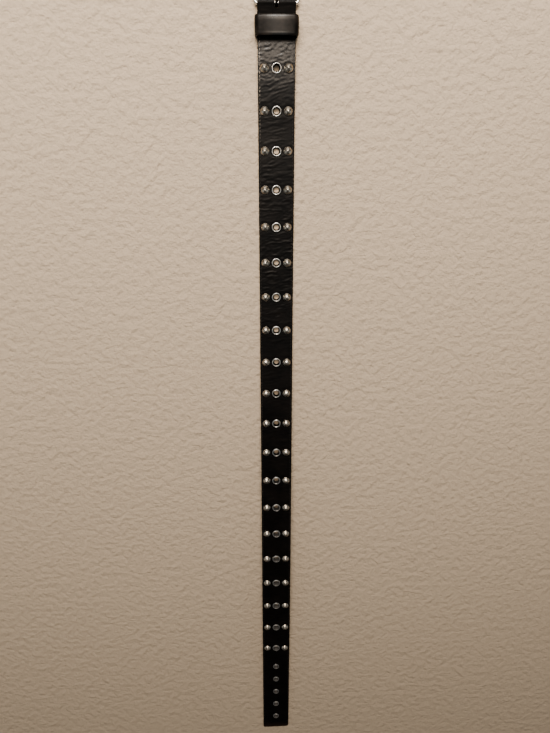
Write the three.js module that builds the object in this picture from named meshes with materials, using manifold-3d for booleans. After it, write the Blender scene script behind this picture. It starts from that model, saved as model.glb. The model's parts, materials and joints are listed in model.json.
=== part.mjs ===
// A studded leather belt, opened out and lying studs up on a level surface: one black strap with
// 20 rows of stud, open eyelet and stud, 5 small eyelets for the prong, a keeper loop and a plain
// wire buckle. Millimetres, +Z up, +Y from the tip to the buckle, +X across the strap.
import * as THREE from "three";
import { mergeVertices } from "three/addons/utils/BufferGeometryUtils.js";
import Module from "manifold-3d";

const wasm = await Module();
wasm.setup();

// Gap kept between two pieces that touch on the real belt.
const clearance = 0.3;

// Strap. Distances along it are measured from the axis of the buckle's heel bar.
const strapWidth = 38;
const strapThickness = 3;
const barToFirstRow = 57;
const rowCount = 20;
const rowPitch = 39;
const lastRowToHole = 36.5;
const holeCount = 5;
const holePitch = 25;
const lastHoleToTip = 24;
const tipCornerRadius = 3.2;
const tipSlant = 1.1; // how much further the tip's left corner reaches than its right one

// Fold round the heel bar, thinned so that the doubled strap stays slim.
const foldThickness = 2;
const foldLength = 50;
const foldSeamLength = 9;
const foldSkiveLength = 8;
const foldEdgeThickness = 0.7;
const foldEaseLength = 7;
const foldTangentAngle = Math.PI / 3;
const slotSideRoom = 0.45;
const slotEnd = 5.6;

// How the strap lies: down from the fold to the ground, then one long low rise, then the tip.
const descentLength = 66;
const riseHeight = 10;
const riseStart = 0.24; // shares of the strap's length
const riseTop = 0.68;
const descentStep = 6.6; // length of the side view's facets
const tipStep = 6;

// Studs and eyelets.
const studToEdge = 6.8; // from a stud's middle to the strap's edge
const studDiameter = 9;
const studHeight = 3.2;
const ringDiameter = 10;
const ringBore = 5.6;
const ringHeight = 1.15;
const ringBackDiameter = 9;
const eyeletDiameter = 8.4;
const eyeletBore = 4.5;
const eyeletHeight = 1;
const eyeletBackDiameter = 7.8;
const eyeletBackThickness = 0.6;
const barrelWall = 0.4;
const flangeSunk = 0.2; // how deep a large eyelet's flanges press into the leather
const fittingSides = 12;

// Keeper loop.
const keeperWall = 1.8;
const keeperLength = 18;
const barToKeeper = 11.8;
const keeperSideRoom = 0.85;
const passageHeight = 6.4; // room above the strap for the studded end
const keeperTopCorner = 5;
const keeperBottomCorner = 3;
const keeperCrown = 0.8;

// Buckle.
const wireDiameter = 3.4;
const frameLength = 43;
const frameSideRoom = 0.5;
const frameCornerRadius = 9;
const prongDiameter = 3;
const prongLoopWall = 1.6;
const prongLoopEdge = 0.35; // width of the bevel on the loop's edges
const prongLoopSides = 16;
const wireSides = 10;
const frameSteps = 34; // sections along half of the frame

// Places that follow from the sizes above.
const wireRadius = wireDiameter / 2;
const prongRadius = prongDiameter / 2;
const studOffset = strapWidth / 2 - studToEdge;
const firstHole = barToFirstRow + (rowCount - 1) * rowPitch + lastRowToHole;
const lastHole = firstHole + (holeCount - 1) * holePitch;
const strapLength = lastHole + lastHoleToTip;
const standOff = eyeletBackThickness + clearance; // the strap lies on the backs of its eyelets
const foldBottom = keeperWall + clearance;
const slitBottom = foldBottom + foldThickness;
const slitTop = slitBottom + clearance;
const doubledTop = slitTop + strapThickness;
const barHeight = (foldBottom + doubledTop) / 2;
const eyeRadius = wireRadius + clearance;
const foldRadius = eyeRadius + foldThickness;
const frameTilt = Math.asin((barHeight - wireRadius) / frameLength);
const frontReach = frameLength * Math.cos(frameTilt) + wireRadius;
const barY = (strapLength - frontReach) / 2;

const leather = { color: 0x15110e, roughness: 0.34, metalness: 0 };
const keeperLeather = { color: 0x100e0c, roughness: 0.42, metalness: 0 };
const agedSilver = { color: 0xb3a893, roughness: 0.36, metalness: 1 };
const brightSilver = { color: 0xd6d3cb, roughness: 0.22, metalness: 1 };
const nickel = { color: 0xc9c7c2, roughness: 0.2, metalness: 1 };

const belt = new THREE.Group();
belt.name = "studded_belt";

// A closed geometry as a solid that can be joined and cut.
function toSolid(geometry) {
  const bare = geometry.clone();
  bare.deleteAttribute("normal");
  bare.deleteAttribute("uv");
  const merged = mergeVertices(bare, 1e-4);
  return new wasm.Manifold(
    new wasm.Mesh({
      numProp: 3,
      vertProperties: merged.attributes.position.array,
      triVerts: new Uint32Array(merged.index.array),
    }),
  );
}

function toGeometry(solid) {
  const { vertProperties, triVerts } = solid.getMesh();
  const geometry = new THREE.BufferGeometry();
  geometry.setAttribute("position", new THREE.BufferAttribute(vertProperties, 3));
  geometry.setIndex(new THREE.BufferAttribute(triVerts, 1));
  geometry.computeVertexNormals();
  return geometry;
}

function addPiece(name, geometry, finish, parent = belt) {
  const mesh = new THREE.Mesh(geometry, new THREE.MeshStandardMaterial(finish));
  mesh.name = name;
  parent.add(mesh);
  return mesh;
}

// A profile of { radius, height } rows turned about the Z axis.
function turned(profile, sides = fittingSides) {
  const points = profile.map((row) => new THREE.Vector2(row.radius, row.height));
  return new THREE.LatheGeometry(points, sides).rotateX(Math.PI / 2);
}

// An outline drawn in (Y, Z), pulled across the strap and centred on X.
function pulledAcross(shape, width) {
  const basis = new THREE.Matrix4().makeBasis(
    new THREE.Vector3(0, 1, 0),
    new THREE.Vector3(0, 0, 1),
    new THREE.Vector3(1, 0, 0),
  );
  const geometry = new THREE.ExtrudeGeometry(shape, {
    depth: width,
    bevelEnabled: false,
    curveSegments: 6,
  });
  return geometry.applyMatrix4(basis).translate(-width / 2, 0, 0);
}

function smooth(share) {
  const t = THREE.MathUtils.clamp(share, 0, 1);
  return t * t * (3 - 2 * t);
}

// Height of the strap's underside at a distance along it.
function underside(along) {
  const rise = smooth((along / strapLength - riseStart) / (riseTop - riseStart));
  const fall = smooth((along - riseTop * strapLength) / (lastHole - riseTop * strapLength));
  const descent = 1 - smooth((along - foldLength) / descentLength);
  const tip = smooth((along - lastHole) / lastHoleToTip);
  return standOff * (1 - tip) + (slitTop - standOff) * descent + riseHeight * (rise - fall);
}

// Distances at which the strap's side view has a corner.
function stations() {
  const list = [];
  const stretches = [
    { until: foldLength + descentLength, step: descentStep },
    { until: lastHole, step: rowPitch / 2 },
    { until: strapLength, step: tipStep },
  ];
  let from = foldLength;
  for (const stretch of stretches) {
    const count = Math.max(1, Math.round((stretch.until - from) / stretch.step));
    for (let i = 0; i < count; i++) list.push(from + ((stretch.until - from) * i) / count);
    from = stretch.until;
  }
  list.push(strapLength);
  return list;
}

// Side view of the strap in (Y, Z) from the bar's axis: the doubled end, the eye for the bar with
// the slit between the two layers, and the single strap down to the tip.
function strapSideView() {
  const angle = foldTangentAngle;
  const tangentY = -foldRadius * Math.cos(angle);
  const tangentDrop = foldRadius * Math.sin(angle);
  const backEase = (foldBottom - barHeight + tangentDrop) / Math.cos(angle);
  const frontEase = (barHeight + tangentDrop - doubledTop) / Math.cos(angle);
  const along = stations();
  const outline = new THREE.Shape();
  outline.moveTo(-strapLength, underside(strapLength));
  for (const s of [...along].reverse()) outline.lineTo(-s, underside(s));
  outline.lineTo(-foldLength, slitTop - foldEdgeThickness);
  outline.lineTo(-foldLength + foldSkiveLength, foldBottom);
  outline.lineTo(-foldEaseLength, foldBottom);
  outline.quadraticCurveTo(
    tangentY - backEase * Math.sin(angle),
    foldBottom,
    tangentY,
    barHeight - tangentDrop,
  );
  outline.absarc(0, barHeight, foldRadius, Math.PI + angle, 3 * Math.PI - angle, false);
  outline.quadraticCurveTo(
    tangentY - frontEase * Math.sin(angle),
    doubledTop,
    -foldEaseLength,
    doubledTop,
  );
  for (const s of along) outline.lineTo(-s, underside(s) + strapThickness);
  outline.closePath();
  outline.holes.push(eyeAndSlit(angle));
  return outline;
}

function eyeAndSlit(angle) {
  const eye = new THREE.Path();
  const tangentY = -eyeRadius * Math.cos(angle);
  const tangentDrop = eyeRadius * Math.sin(angle);
  const topEase = (barHeight + tangentDrop - slitTop) / Math.cos(angle);
  const bottomEase = (slitBottom - barHeight + tangentDrop) / Math.cos(angle);
  const slitEnd = foldLength - foldSeamLength;
  eye.moveTo(-slitEnd, slitBottom);
  eye.lineTo(-slitEnd, slitTop);
  eye.lineTo(-foldEaseLength, slitTop);
  eye.quadraticCurveTo(
    tangentY - topEase * Math.sin(angle),
    slitTop,
    tangentY,
    barHeight + tangentDrop,
  );
  eye.absarc(0, barHeight, eyeRadius, Math.PI - angle, Math.PI + angle, true);
  eye.quadraticCurveTo(
    tangentY - bottomEase * Math.sin(angle),
    slitBottom,
    -foldEaseLength,
    slitBottom,
  );
  eye.closePath();
  return eye;
}

// The strap seen from above: straight edges and a squared, slightly slanted tip.
function strapPlan() {
  const half = strapWidth / 2;
  const corner = tipCornerRadius;
  const top = foldRadius + clearance;
  const leftEnd = -strapLength;
  const rightEnd = -strapLength + tipSlant;
  const plan = new THREE.Shape();
  plan.moveTo(-half, top);
  plan.lineTo(-half, leftEnd + corner / 2);
  plan.quadraticCurveTo(-half, leftEnd, -half + corner / 2, leftEnd);
  plan.lineTo(half - corner, rightEnd);
  plan.quadraticCurveTo(half, rightEnd, half, rightEnd + corner);
  plan.lineTo(half, top);
  plan.closePath();
  return pulledUp(plan);
}

// A shape drawn in (X, Y), pulled up through the whole height of the strap.
function pulledUp(shape) {
  const height = 2 * (doubledTop + riseHeight);
  const geometry = new THREE.ExtrudeGeometry(shape, {
    depth: height,
    bevelEnabled: false,
    curveSegments: 4,
  });
  return geometry.translate(0, 0, -height / 4);
}

// Slot for the prong through both layers, open round the fold and round at its end.
function prongSlot() {
  const half = prongRadius + slotSideRoom;
  const slot = new THREE.Shape();
  slot.moveTo(half, foldRadius + 2 * clearance);
  slot.lineTo(-half, foldRadius + 2 * clearance);
  slot.lineTo(-half, -slotEnd + half);
  slot.absarc(0, -slotEnd + half, half, Math.PI, 2 * Math.PI, false);
  slot.closePath();
  return pulledUp(slot);
}

// Matrix that stands a fitting on the strap's underside, square to the leather.
function placeOnStrap(across, along) {
  const step = 0.5;
  const slope = (underside(along + step) - underside(along - step)) / (2 * step);
  const place = new THREE.Object3D();
  place.position.set(across, barY - along, underside(along));
  place.rotation.x = -Math.atan(slope);
  place.updateMatrix();
  return place.matrix;
}

// Rolled front of an eyelet, as shares of the way from its outer edge to its bore and of its height.
function rolledFront(front, bore, seat, height) {
  const rows = [
    { inward: 0.13, rise: 0.45 },
    { inward: 0.5, rise: 1 },
    { inward: 1, rise: 0.6 },
  ];
  return rows.map((row) => ({
    radius: front - row.inward * (front - bore),
    height: seat + row.rise * height,
  }));
}

// Large eyelet, with the barrel and back flange that hold it in the leather.
function ringProfile() {
  const bore = ringBore / 2;
  const front = ringDiameter / 2;
  const back = ringBackDiameter / 2;
  const barrel = bore + 2 * barrelWall;
  return [
    { radius: bore, height: -standOff },
    { radius: back, height: -standOff },
    { radius: back, height: flangeSunk },
    { radius: barrel, height: flangeSunk },
    { radius: barrel, height: strapThickness - flangeSunk },
    { radius: front, height: strapThickness - flangeSunk },
    ...rolledFront(front, bore, strapThickness, ringHeight),
    { radius: bore, height: -standOff },
  ];
}

function eyeletProfile() {
  const bore = eyeletBore / 2;
  const front = eyeletDiameter / 2;
  const back = eyeletBackDiameter / 2;
  const barrel = bore + barrelWall;
  const seat = strapThickness + clearance;
  return [
    { radius: bore, height: -standOff },
    { radius: back, height: -standOff },
    { radius: back, height: -clearance },
    { radius: barrel, height: -clearance },
    { radius: barrel, height: seat },
    { radius: front, height: seat },
    ...rolledFront(front, bore, seat, eyeletHeight),
    { radius: bore, height: -standOff },
  ];
}

// Low pointed dome with a short upright rim, as shares of the stud's radius and height.
function studProfile() {
  const rows = [
    { radius: 0, height: 0 },
    { radius: 1, height: 0 },
    { radius: 1, height: 0.18 },
    { radius: 0.68, height: 0.66 },
    { radius: 0, height: 1 },
  ];
  return rows.map((row) => ({
    radius: (row.radius * studDiameter) / 2,
    height: strapThickness + clearance + row.height * studHeight,
  }));
}

function holeThroughStrap(radius) {
  return turned([
    { radius: 0, height: -strapThickness },
    { radius, height: -strapThickness },
    { radius, height: 2 * strapThickness },
    { radius: 0, height: 2 * strapThickness },
  ]);
}

const rowPlaces = Array.from({ length: rowCount }, (_, i) => barToFirstRow + i * rowPitch);
const holePlaces = Array.from({ length: holeCount }, (_, i) => firstHole + i * holePitch);

function makeStrap() {
  const sideView = pulledAcross(strapSideView(), strapWidth).translate(0, barY, 0);
  let strap = toSolid(sideView).intersect(toSolid(strapPlan().translate(0, barY, 0)));
  strap = strap.subtract(toSolid(prongSlot().translate(0, barY, 0)));
  const ringHole = holeThroughStrap(ringBore / 2 + barrelWall);
  const eyeletHole = holeThroughStrap(eyeletBore / 2 + barrelWall + clearance);
  for (const along of rowPlaces) {
    const place = placeOnStrap(0, along);
    strap = strap.subtract(toSolid(ringHole.clone().applyMatrix4(place)));
    strap = strap.add(toSolid(turned(ringProfile()).applyMatrix4(place)));
  }
  for (const along of holePlaces) {
    strap = strap.subtract(toSolid(eyeletHole.clone().applyMatrix4(placeOnStrap(0, along))));
  }
  addPiece("strap", toGeometry(strap), leather);
}

function makeFittings() {
  const stud = turned(studProfile());
  const sides = [
    { name: "left", across: -studOffset },
    { name: "right", across: studOffset },
  ];
  rowPlaces.forEach((along, i) => {
    for (const side of sides) {
      const mesh = addPiece(`stud_${side.name}_${i + 1}`, stud.clone(), agedSilver);
      mesh.applyMatrix4(placeOnStrap(side.across, along));
    }
  });
  const eyelet = turned(eyeletProfile());
  holePlaces.forEach((along, i) => {
    const mesh = addPiece(`eyelet_${i + 1}`, eyelet.clone(), brightSilver);
    mesh.applyMatrix4(placeOnStrap(0, along));
  });
}

// One closed loop of the keeper's end view in (X, Z), round at its corners and crowned on top.
function keeperLoop(path, inset) {
  const half = strapWidth / 2 + keeperSideRoom + keeperWall - inset;
  const bottom = inset;
  const top = doubledTop + passageHeight + keeperWall - inset;
  const low = keeperBottomCorner - inset;
  const high = keeperTopCorner - inset;
  path.moveTo(-half + low, bottom);
  path.lineTo(half - low, bottom);
  path.absarc(half - low, bottom + low, low, -Math.PI / 2, 0, false);
  path.lineTo(half, top - high);
  path.absarc(half - high, top - high, high, 0, Math.PI / 2, false);
  path.quadraticCurveTo(0, top + 2 * keeperCrown, -half + high, top);
  path.absarc(-half + high, top - high, high, Math.PI / 2, Math.PI, false);
  path.lineTo(-half, bottom + low);
  path.absarc(-half + low, bottom + low, low, Math.PI, 1.5 * Math.PI, false);
  path.closePath();
  return path;
}

function makeKeeper() {
  const section = keeperLoop(new THREE.Shape(), 0);
  section.holes.push(keeperLoop(new THREE.Path(), keeperWall));
  const geometry = new THREE.ExtrudeGeometry(section, {
    depth: keeperLength,
    bevelEnabled: false,
    curveSegments: 5,
  });
  const keeper = addPiece("keeper", geometry, keeperLeather);
  keeper.rotation.x = Math.PI / 2;
  keeper.position.set(0, barY - barToKeeper, 0);
}

// Half of the wire frame, from the middle of the heel bar round to the middle of the front bar.
function halfFrame() {
  const side = strapWidth / 2 + frameSideRoom + wireRadius;
  const heelCorner = side - strapWidth / 2;
  const front = frameCornerRadius;
  const overlap = wireRadius / 2;
  const path = new THREE.CurvePath();
  const at = (x, y) => new THREE.Vector3(x, y, 0);
  path.add(new THREE.LineCurve3(at(-overlap, 0), at(side - heelCorner, 0)));
  path.add(roundCorner(side - heelCorner, heelCorner, heelCorner, -Math.PI / 2));
  path.add(new THREE.LineCurve3(at(side, heelCorner), at(side, frameLength - front)));
  path.add(roundCorner(side - front, frameLength - front, front, 0));
  path.add(new THREE.LineCurve3(at(side - front, frameLength), at(-overlap, frameLength)));
  const section = new THREE.Shape();
  section.absarc(0, 0, wireRadius, 0, 2 * Math.PI, false);
  return new THREE.ExtrudeGeometry(section, {
    steps: frameSteps,
    curveSegments: wireSides / 2,
    extrudePath: path,
  });
}

// A quarter turn in the plane of the frame.
function roundCorner(x, y, radius, startAngle) {
  const corner = new THREE.Curve();
  corner.getPoint = (t, target = new THREE.Vector3()) => {
    const angle = startAngle + (t * Math.PI) / 2;
    return target.set(x + radius * Math.cos(angle), y + radius * Math.sin(angle), 0);
  };
  return corner;
}

function makeBuckle() {
  const right = toSolid(halfFrame());
  const left = toSolid(halfFrame().rotateY(Math.PI));
  const frame = addPiece("buckle_frame", toGeometry(right.add(left)), nickel);
  frame.position.set(0, barY, barHeight);
  frame.rotation.x = -frameTilt;

  const prong = addPiece("prong", toGeometry(prongSolid()), nickel);
  prong.position.set(0, barY, barHeight);
}

// Prong at rest: its loop round the heel bar, its shank level and just clear of the front bar.
function prongSolid() {
  const loopRadius = eyeRadius + prongLoopWall;
  const edge = prongLoopEdge;
  const loop = turned(
    [
      { radius: eyeRadius / 2, height: -prongRadius },
      { radius: loopRadius - edge, height: -prongRadius },
      { radius: loopRadius, height: -prongRadius + edge },
      { radius: loopRadius, height: prongRadius - edge },
      { radius: loopRadius - edge, height: prongRadius },
      { radius: eyeRadius / 2, height: prongRadius },
      { radius: eyeRadius / 2, height: -prongRadius },
    ],
    prongLoopSides,
  );
  const shankLength = frameLength + wireRadius / 2;
  const shankRows = [
    { radius: 0, along: 0 },
    { radius: 1, along: 0 },
    { radius: 1, along: 0.9 },
    { radius: 0.82, along: 0.97 },
    { radius: 0.45, along: 0.995 },
    { radius: 0, along: 1 },
  ];
  const shank = turned(
    shankRows.map((row) => ({ radius: row.radius * prongRadius, height: row.along * shankLength })),
    wireSides,
  );
  const shankHeight = wireDiameter + clearance + prongRadius - barHeight;
  const barHole = turned(
    [
      { radius: 0, height: -prongDiameter },
      { radius: eyeRadius, height: -prongDiameter },
      { radius: eyeRadius, height: prongDiameter },
      { radius: 0, height: prongDiameter },
    ],
    prongLoopSides,
  );
  const whole = toSolid(loop.rotateY(Math.PI / 2)).add(
    toSolid(shank.rotateX(-Math.PI / 2).translate(0, 0, shankHeight)),
  );
  return whole.subtract(toSolid(barHole.rotateY(Math.PI / 2)));
}

makeStrap();
makeFittings();
makeKeeper();
makeBuckle();

export default belt;
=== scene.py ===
# Studded leather belt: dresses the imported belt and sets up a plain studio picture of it.
# Lengths are in metres. "along" is the distance from the buckle's heel bar towards the tip.
import json
import math

import bmesh
import bpy
from mathutils import Matrix, Vector, noise


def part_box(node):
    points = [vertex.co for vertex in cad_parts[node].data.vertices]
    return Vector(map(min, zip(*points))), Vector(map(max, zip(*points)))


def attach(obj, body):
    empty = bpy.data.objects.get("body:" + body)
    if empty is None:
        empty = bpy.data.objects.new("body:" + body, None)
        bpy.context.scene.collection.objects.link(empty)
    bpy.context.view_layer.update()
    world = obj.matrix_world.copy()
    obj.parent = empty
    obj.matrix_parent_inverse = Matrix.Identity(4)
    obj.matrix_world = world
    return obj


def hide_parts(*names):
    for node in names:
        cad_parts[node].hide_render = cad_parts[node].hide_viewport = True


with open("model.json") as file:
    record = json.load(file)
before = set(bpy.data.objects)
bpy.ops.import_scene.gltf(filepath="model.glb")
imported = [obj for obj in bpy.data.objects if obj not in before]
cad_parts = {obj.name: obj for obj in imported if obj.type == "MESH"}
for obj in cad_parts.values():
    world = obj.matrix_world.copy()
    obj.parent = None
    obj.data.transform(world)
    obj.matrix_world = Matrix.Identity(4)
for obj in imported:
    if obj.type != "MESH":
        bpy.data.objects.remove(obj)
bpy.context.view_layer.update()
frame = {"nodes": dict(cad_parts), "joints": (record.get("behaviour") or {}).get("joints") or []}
mm = 0.001

print("belt: reading the places of the fittings")
heel = Vector(frame["joints"][0]["pos_m"])  # axis of the heel bar
beltBody, frameBody, prongBody = "belt_body", "frame_body", "prong_body"
nodes = frame["nodes"]
rowCount = sum(name.startswith("stud_left_") for name in nodes)
holeCount = sum(name.startswith("eyelet_") for name in nodes)
clearance = 0.3 * mm


def middleOf(node):
    low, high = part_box(node)
    return (low + high) / 2


def sizeOf(node):
    low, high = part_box(node)
    return high - low


rowPlaces = [heel.y - middleOf(f"stud_left_{i + 1}").y for i in range(rowCount)]
holePlaces = [heel.y - middleOf(f"eyelet_{i + 1}").y for i in range(holeCount)]
studAcross = middleOf("stud_right_1").x

print("belt: camera")
camera = {
    "lens": 27.0,
    "height": 0.6262,  # above the floor
    "along": 0.1653,  # past the heel bar, towards the tip
    "across": -0.0178,
    "tilt": 18.6,  # degrees, towards the tip
    "turn": -1.5,
}
cameraData = bpy.data.cameras.new("photo_camera")
cameraData.lens = camera["lens"]
cameraObject = bpy.data.objects.new("photo_camera", cameraData)
bpy.context.scene.collection.objects.link(cameraObject)
cameraTurn = Matrix.Rotation(math.radians(camera["turn"]), 4, "Y")
cameraTilt = Matrix.Rotation(-math.radians(camera["tilt"]), 4, "X")
cameraPlace = Vector((camera["across"], heel.y - camera["along"], camera["height"]))
cameraObject.matrix_world = Matrix.Translation(cameraPlace) @ cameraTurn @ cameraTilt
bpy.context.scene.camera = cameraObject


class Value:
    # a socket that Python's operators work on
    def __init__(self, finish, socket):
        self.finish, self.socket = finish, socket

    def maths(self, operation, *values):
        return self.finish.node("ShaderNodeMath", {"operation": operation}, dict(enumerate(values)))

    def __add__(self, other):
        return self.maths("ADD", self, other)

    __radd__ = __add__

    def __sub__(self, other):
        return self.maths("SUBTRACT", self, other)

    def __rsub__(self, other):
        return self.maths("SUBTRACT", other, self)

    def __mul__(self, other):
        return self.maths("MULTIPLY", self, other)

    __rmul__ = __mul__

    def __pow__(self, power):
        return self.maths("POWER", self, power)

    def size(self):
        return self.maths("ABSOLUTE", self)

    def fade(self, low, high):
        # 0 below low, 1 above high, smooth between
        return self.finish.node(
            "ShaderNodeMapRange",
            {"interpolation_type": "SMOOTHSTEP"},
            {"Value": self, "From Min": low, "From Max": high},
        )


class Finish:
    # one material and the one way to add nodes to it
    def __init__(self, name):
        self.material = bpy.data.materials.new(name)
        self.material.use_nodes = True
        self.tree = self.material.node_tree
        self.shader = self.tree.nodes["Principled BSDF"]

    def node(self, kind, settings=None, inputs=None, out=0):
        made = self.tree.nodes.new(kind)
        for key, value in (settings or {}).items():
            setattr(made, key, value)
        for key, value in (inputs or {}).items():
            self.feed(made.inputs[key], value)
        return Value(self, made.outputs[out])

    def feed(self, socket, value):
        if isinstance(value, Value):
            self.tree.links.new(value.socket, socket)
        else:
            socket.default_value = value

    def surface(self, **values):
        for key, value in values.items():
            self.feed(self.shader.inputs[key.replace("_", " ")], value)

    def mix(self, share, first, second):
        return self.node("ShaderNodeMix", {"data_type": "RGBA"}, {0: share, 6: first, 7: second}, out=2)

    def noise(self, place, scale, detail=2.0, roughness=0.5):
        return self.node(
            "ShaderNodeTexNoise",
            None,
            {"Vector": place, "Scale": scale, "Detail": detail, "Roughness": roughness},
        )

    def bump(self, height, depth, strength=1.0):
        inputs = {"Height": height, "Distance": depth, "Strength": strength}
        return self.node("ShaderNodeBump", None, inputs)

    def objectPlace(self):
        return self.node("ShaderNodeTexCoord", out=3)  # the Object output

    def run(self):
        # the piece's own map: across and along the strap, in metres
        return self.node("ShaderNodeUVMap", {"uv_map": "run"})

    def stretched(self, place, scale, turn=0.0):
        return self.node(
            "ShaderNodeMapping",
            None,
            {"Vector": place, "Scale": scale, "Rotation": (0.0, 0.0, turn)},
        )

    def parts(self, place):
        split = self.node("ShaderNodeSeparateXYZ", None, {0: place})
        return [Value(self, socket) for socket in split.socket.node.outputs]


def colour(red, green, blue):
    return (red, green, blue, 1.0)


def smoothStep(share):
    t = min(max(share, 0.0), 1.0)
    return t * t * (3 - 2 * t)


def nearTo(value, middle, spread):
    # 1 at the middle, falling away like a bell
    return math.exp(-(((value - middle) / spread) ** 2))


def finishMesh(name, bm, finishes, sharp=40):
    bmesh.ops.recalc_face_normals(bm, faces=bm.faces)
    mesh = bpy.data.meshes.new(name)
    bm.to_mesh(mesh)
    bm.free()
    for finish in finishes:
        mesh.materials.append(finish.material)
    mesh.polygons.foreach_set("use_smooth", [True] * len(mesh.polygons))
    mesh.set_sharp_from_angle(angle=math.radians(sharp))
    return mesh


def addPiece(name, mesh, body, replaced=()):
    piece = bpy.data.objects.new(name, mesh)
    bpy.context.scene.collection.objects.link(piece)
    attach(piece, body)
    if replaced:
        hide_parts(*replaced)
    return piece


def addCopy(name, pattern, seat, replaced=()):
    # a fitting made once and set on the strap at its own place
    mesh = pattern.copy()
    mesh.transform(seat)
    return addPiece(name, mesh, beltBody, replaced)


def turnedProfile(rows, sides, closed=False):
    # rows of (radius, height) spun about Z
    bm = bmesh.new()
    corners = [bm.verts.new((radius, 0.0, height)) for radius, height in rows]
    pairs = list(zip(corners, corners[1:]))
    if closed:
        pairs.append((corners[-1], corners[0]))
    edges = [bm.edges.new(pair) for pair in pairs]
    bmesh.ops.spin(
        bm,
        geom=corners + edges,
        cent=(0, 0, 0),
        axis=(0, 0, 1),
        angle=2 * math.pi,
        steps=sides,
        use_merge=True,
        use_duplicate=False,
    )
    bmesh.ops.remove_doubles(bm, verts=bm.verts, dist=1e-7)
    return bm


def sweptWire(bm, stations, sides, closed=False):
    # stations of (middle, forward, upward, half width, half thickness along the upward direction)
    ring = bmesh.ops.create_circle(bm, segments=sides, radius=1.0)["verts"]
    first = list(ring)
    angles = [2 * math.pi * i / sides for i in range(sides)]
    for number, (middle, forward, upward, halfWidth, halfThick) in enumerate(stations):
        if number:
            touching = dict.fromkeys(e for v in ring for e in v.link_edges)
            edges = [e for e in touching if all(v in ring for v in e.verts)]
            grown = bmesh.ops.extrude_edge_only(bm, edges=edges)["geom"]
            ring = nextRing(ring, [g for g in grown if isinstance(g, bmesh.types.BMVert)])
        side = forward.cross(upward).normalized()
        for vertex, angle in zip(ring, angles):
            sideways = side * (math.cos(angle) * halfWidth)
            vertex.co = middle + sideways + upward * (math.sin(angle) * halfThick)
    if closed:
        last = [e for e in bm.edges if e.is_boundary]
        bmesh.ops.bridge_loops(bm, edges=last)
    else:
        bmesh.ops.contextual_create(bm, geom=first)
        bmesh.ops.contextual_create(bm, geom=ring)
    return bm


def nextRing(ring, made):
    # the new vertices in the old ring's order
    return [next(e.other_vert(v) for e in v.link_edges if e.other_vert(v) in made) for v in ring]


print("belt: strap")
strapLow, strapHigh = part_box("strap")
strap = {
    "width": strapHigh.x - strapLow.x,
    "length": heel.y - strapLow.y,
    "thickness": 3 * mm,
    "foldThickness": 2 * mm,
    "foldBottom": 2.1 * mm,
    "foldLength": 50 * mm,
    "foldSkive": 8 * mm,
    "foldEdge": 0.7 * mm,
    "foldEase": 7 * mm,  # where the straight layers start to close round the bar
    "easeWalk": 5.4 * mm,  # walked along the leather over that stretch
    "foldAngle": math.pi / 3,
    "eyeRadius": 2 * mm,
    "slotHalf": 1.95 * mm,
    "slotEnd": 5.6 * mm,
    "standOff": 0.9 * mm,
    "descent": 66 * mm,
    "rise": 10 * mm,
    "riseStart": 0.24,  # shares of the strap's length
    "riseTop": 0.68,
    "tipCorner": 3.2 * mm,
    "tipSlant": 1.1 * mm,
    "tipSlantReach": 20 * mm,
    "cell": 0.9 * mm,  # mesh step along the strap
    "innerColumns": 34,
    "edgeRound": 0.8 * mm,
    "edgeColumns": (0.45, 0.8, 1.0),  # shares of the rounding
    "ringSeat": 3.7 * mm,  # radius of the leather's hole under a large eyelet
    "eyeletSeat": 3.2 * mm,
    "holeReach": 1.2 * mm,  # mesh corners this near a hole are pulled onto its rim
    "smoothEnd": 13 * mm,  # the leather over the bar has no creases
    "smoothFade": 8 * mm,
    "keeperHollow": 0.55 * mm,  # the doubled end sinks a little into the keeper
    "hollowSink": 7 * mm,  # lengths over which it sinks and rises again
    "hollowRise": 9 * mm,
    "hollowEnd": 20 * mm,  # where it starts to rise
}
half = strap["width"] / 2
slitBottom = strap["foldBottom"] + strap["foldThickness"]
slitTop = slitBottom + clearance
doubledTop = slitTop + strap["thickness"]
foldRadius = strap["eyeRadius"] + strap["foldThickness"]
foldMiddle = strap["eyeRadius"] + strap["foldThickness"] / 2
foldArc = foldMiddle * (2 * math.pi - 2 * strap["foldAngle"])


def underside(along):
    bottom, top = strap["riseStart"] * strap["length"], strap["riseTop"] * strap["length"]
    lastHole = holePlaces[-1]
    rise = smoothStep((along - bottom) / (top - bottom))
    fall = smoothStep((along - top) / (lastHole - top))
    down = 1 - smoothStep((along - strap["foldLength"]) / strap["descent"])
    tip = smoothStep((along - lastHole) / (strap["length"] - lastHole))
    flat = strap["standOff"] * (1 - tip) + (slitTop - strap["standOff"]) * down
    return flat + strap["rise"] * (rise - fall)


def placeOnStrap(across, along, height=0.0):
    # square to the leather, standing on the underside
    step = 0.5 * mm
    slope = (underside(along + step) - underside(along - step)) / (2 * step)
    turn = Matrix.Rotation(-math.atan(slope), 4, "X")
    foot = Vector((across, heel.y - along, underside(along)))
    return Matrix.Translation(foot) @ turn @ Matrix.Translation((0, 0, height))


def bezier(start, control, end, t):
    return start.lerp(control, t).lerp(control.lerp(end, t), t)


def easeCurve(radius, straight, upper, t):
    # from the straight layer to the arc round the bar, in (y, z) from the heel axis
    sign = 1 if upper else -1
    angle = strap["foldAngle"]
    meet = Vector((-radius * math.cos(angle), sign * radius * math.sin(angle)))
    level = straight - heel.z
    reach = sign * (meet.y - level) / math.cos(angle)
    control = Vector((meet.x - reach * math.sin(angle), level))
    start = Vector((-strap["foldEase"], level))
    return bezier(start, control, meet, t)


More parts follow.
